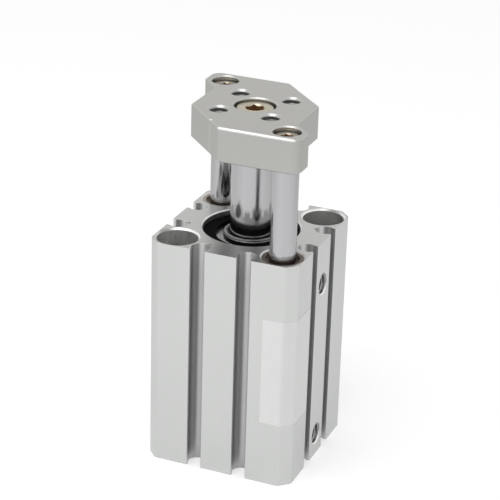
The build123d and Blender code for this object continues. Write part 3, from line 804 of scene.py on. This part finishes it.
knurls = knurl_tree()
for name, size in screws.items():
    rings, socket_point, tip = screw_rings(size)
    mesh = bmesh.new()
    for x, y in size["places"]:
        rounds = [[
            mesh.verts.new(Vector((
                x + radius * math.cos(math.tau * step / head_sides),
                y + radius * math.sin(math.tau * step / head_sides),
                height,
            )) * mm)
            for step, (radius, height) in enumerate(ring)
        ] for ring in rings]
        middle = mesh.verts.new(Vector((x, y, socket_point)) * mm)
        end = mesh.verts.new(Vector((x, y, tip)) * mm)
        for step in range(head_sides):
            after = (step + 1) % head_sides
            mesh.faces.new((middle, rounds[0][step], rounds[0][after])).material_index = 1
            mesh.faces.new((end, rounds[-1][after], rounds[-1][step]))
            for number, (inner, outer) in enumerate(zip(rounds, rounds[1:])):
                side = mesh.faces.new((inner[step], outer[step], outer[after], inner[after]))
                side.material_index = 1 if number < 2 else 0
    screw_mesh = bpy.data.meshes.new(name + "_forged")
    mesh.to_mesh(screw_mesh)
    mesh.free()
    screw_mesh.materials.append(nickel)
    screw_mesh.materials.append(socket_finish)
    screw_mesh.shade_smooth()
    screw_mesh.set_sharp_from_angle(angle=sharp_angle)
    screw = bpy.data.objects.new(name + "_forged", screw_mesh)
    bpy.context.scene.collection.objects.link(screw)
    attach(screw, "rod_assembly")
    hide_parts(name)
    ridge_length = size["head_height"] - 2 * size["edge"] - knurl_gap
    middle_height = size["floor"] + knurl_gap + ridge_length / 2
    knurl = grow(name + "_knurl", knurls, [(x, y, middle_height) for x, y in size["places"]], {
        "Head Radius": size["head_radius"] * mm,
        "Ridges": size["ridges"],
        "Ridge Width": knurl_width * mm,
        "Ridge Length": ridge_length * mm,
        "Finish": nickel,
    })
    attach(knurl, "rod_assembly")

# The label is a white plastic film that wraps the front corner of the body, over its
# chamfer and the two small blends beside it. It is bare.
film_low = 15.6
film_high = 41.5
film_gap = 0.01
film_thickness = 0.08
film_start = 10.65
film_end = -7.9
corner_chamfer = 2.5
corner_blend = 1.2
bend_angle = 45
bend_steps = 8
film_sharp_angle = math.radians(30)
film_color = (0.985, 0.985, 0.98)
blend_reach = corner_blend * math.tan(math.radians(bend_angle / 2))
bends = [
    (body_half - corner_chamfer - blend_reach, -body_half + corner_blend, -90),
    (body_half - corner_blend, -body_half + corner_chamfer + blend_reach, -45),
]
film_route = [(film_start, -body_half, -90)]
for x, y, first_angle in bends:
    for step in range(bend_steps + 1):
        angle = first_angle + bend_angle * step / bend_steps
        film_route.append((
            x + corner_blend * math.cos(math.radians(angle)),
            y + corner_blend * math.sin(math.radians(angle)),
            angle,
        ))
film_route.append((body_half, film_end, 0))
mesh = bmesh.new()
sections = []
for x, y, angle in film_route:
    outward = Vector((math.cos(math.radians(angle)), math.sin(math.radians(angle)), 0))
    inner = Vector((x, y, 0)) + outward * film_gap
    outer = Vector((x, y, 0)) + outward * film_thickness
    corners = ((inner, film_low), (outer, film_low), (outer, film_high), (inner, film_high))
    sections.append([mesh.verts.new((point + Vector((0, 0, height))) * mm) for point, height in corners])
for near, far in zip(sections, sections[1:]):
    for side in range(4):
        after = (side + 1) % 4
        mesh.faces.new((near[side], far[side], far[after], near[after]))
mesh.faces.new(sections[0])
mesh.faces.new(sections[-1][::-1])
bmesh.ops.recalc_face_normals(mesh, faces=mesh.faces)
film_mesh = bpy.data.meshes.new("label_film")
mesh.to_mesh(film_mesh)
mesh.free()
film_finish, tree, shader = metal("label_film", film_color, 0.4, metallic=0.0)
pressed = noise(tree, (0.4, 0.4, 0.4), detail=3.0)
color = mottled(tree, pressed, film_color, 0.975)
connect(tree, shader, color, spread(tree, pressed, 0.36, 0.46), relief(tree, pressed, 0.01))
film_mesh.materials.append(film_finish)
film_mesh.shade_smooth()
film_mesh.set_sharp_from_angle(angle=film_sharp_angle)
film = bpy.data.objects.new("label_film", film_mesh)
bpy.context.scene.collection.objects.link(film)
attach(film, "cylinder")
